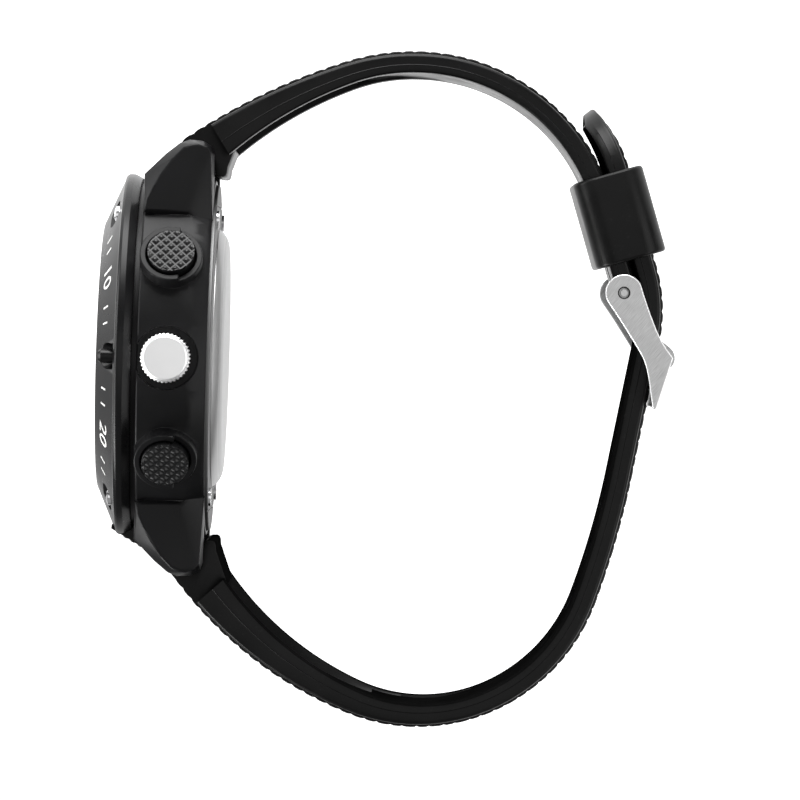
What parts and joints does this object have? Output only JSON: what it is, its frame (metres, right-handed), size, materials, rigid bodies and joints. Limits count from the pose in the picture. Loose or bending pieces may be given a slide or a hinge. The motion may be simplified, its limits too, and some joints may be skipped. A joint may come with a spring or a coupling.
{
  "type": "analog wristwatch",
  "caption": "Analog sports chronograph wristwatch in black resin with knurled pushers, steel crown and caseback, and a ribbed rubber strap closed on its buckle.",
  "frame": {"origin": "centre of the caseback's flat outer face", "axes": "+X out of the caseback into the wrist loop, +Y towards 12 o'clock, +Z towards 3 o'clock (crown side up)"},
  "size_m": [0.0674, 0.0785, 0.0462],
  "materials": {
    "black_resin": "satin moulded black resin",
    "strap_rubber": "satin black polyurethane rubber",
    "seal_rubber": "matt seal rubber",
    "polished_steel": "polished",
    "brushed_steel": "fine brushed",
    "mineral_glass": "clear polished",
    "dial_black": "matt black paint",
    "movement_plastic": "matt",
    "movement_brass": "satin",
    "circuit_green": "solder mask",
    "copper_wire": "enamelled copper winding",
    "hand_red": "gloss paint"
  },
  "bodies": {
    "head": {"case_middle": "black_resin", "bezel": "black_resin", "bezel_screws": "polished_steel", "bezel_studs": "black_resin", "crystal": "mineral_glass", "crystal_gasket": "seal_rubber", "chapter_ring": "dial_black", "dial": "dial_black", "hour_markers": "polished_steel", "movement_holder": "movement_plastic", "main_plate": "movement_brass", "circuit_board": "circuit_green", "train_bridge": "movement_brass", "movement_screws": "polished_steel", "battery": "brushed_steel", "battery_clip": "polished_steel", "motor_coil": "copper_wire", "motor_stator": "brushed_steel", "caseback": "brushed_steel", "caseback_gasket": "seal_rubber", "caseback_screws": "polished_steel", "lug_spring_bars": "brushed_steel", "strap_upper": "strap_rubber", "strap_lower": "strap_rubber", "buckle_spring_bar": "brushed_steel", "start_spring": "polished_steel", "reset_spring": "polished_steel", "pusher_gaskets": "seal_rubber", "crown_gasket": "seal_rubber"},
    "keeper": {"keeper": "strap_rubber"},
    "buckle": {"buckle_frame": "brushed_steel"},
    "tongue": {"buckle_tongue": "brushed_steel"},
    "start_pusher": {"start_button": "black_resin", "start_stem": "brushed_steel"},
    "reset_pusher": {"reset_button": "black_resin", "reset_stem": "brushed_steel"},
    "setting": {"setting_clip": "polished_steel"},
    "crown": {"crown": "polished_steel", "crown_stem": "brushed_steel"},
    "minutes": {"cannon_pinion": "movement_brass", "minute_hand": "polished_steel"},
    "minute_train": {"minute_wheel": "movement_brass"},
    "hours": {"hour_wheel": "movement_brass", "hour_hand": "polished_steel"},
    "sweep_seconds": {"seconds_arbor": "brushed_steel", "seconds_hand": "hand_red"},
    "small_seconds": {"small_seconds_hand": "polished_steel"},
    "counter": {"counter_hand": "polished_steel"}
  },
  "joints": [
    {"name": "start_push", "type": "slide", "parent": "head", "child": "start_pusher", "axis": [0, -0.5, -0.866], "range_m": [0, 0.001], "stiffness_N_per_m": 2500, "springref_m": -0.0004},
    {"name": "reset_push", "type": "slide", "parent": "head", "child": "reset_pusher", "axis": [0, 0.5, -0.866], "range_m": [0, 0.001], "stiffness_N_per_m": 2500, "springref_m": -0.0004},
    {"name": "crown_pull", "type": "slide", "parent": "head", "child": "setting", "axis": [0, 0, 1], "range_m": [0, 0.001]},
    {"name": "crown_turn", "type": "hinge", "parent": "setting", "child": "crown", "pos_m": [-0.0063, 0, 0.022], "axis": [0, 0, 1], "continuous": true},
    {"name": "minute_turn", "type": "hinge", "parent": "head", "child": "minutes", "pos_m": [-0.009, 0, 0], "axis": [1, 0, 0], "continuous": true},
    {"name": "minute_wheel_turn", "type": "hinge", "parent": "head", "child": "minute_train", "pos_m": [-0.0073, 0, -0.0026], "axis": [1, 0, 0], "continuous": true},
    {"name": "hour_turn", "type": "hinge", "parent": "head", "child": "hours", "pos_m": [-0.009, 0, 0], "axis": [1, 0, 0], "continuous": true},
    {"name": "sweep_turn", "type": "hinge", "parent": "head", "child": "sweep_seconds", "pos_m": [-0.009, 0, 0], "axis": [1, 0, 0], "continuous": true},
    {"name": "small_seconds_turn", "type": "hinge", "parent": "head", "child": "small_seconds", "pos_m": [-0.0086, -0.007, 0], "axis": [1, 0, 0], "continuous": true},
    {"name": "counter_turn", "type": "hinge", "parent": "head", "child": "counter", "pos_m": [-0.0086, 0, -0.007], "axis": [1, 0, 0], "continuous": true},
    {"name": "buckle_swing", "type": "hinge", "parent": "head", "child": "buckle", "pos_m": [0.04614, 0.00902, 0], "axis": [0, 0, 1], "range_deg": [0, 5]},
    {"name": "tongue_swing", "type": "hinge", "parent": "buckle", "child": "tongue", "pos_m": [0.04614, 0.00902, 0], "axis": [0, 0, 1], "range_deg": [0, 5]},
    {"name": "keeper_slide", "type": "slide", "parent": "head", "child": "keeper", "axis": [-0.3007, 0.9537, 0], "range_m": [-0.0008, 0.0002]}
  ],
  "couplings": [
    {"joint": "hour_turn", "follows": "minute_turn", "ratio": 0.083333},
    {"joint": "minute_wheel_turn", "follows": "minute_turn", "ratio": -0.33333}
  ]
}
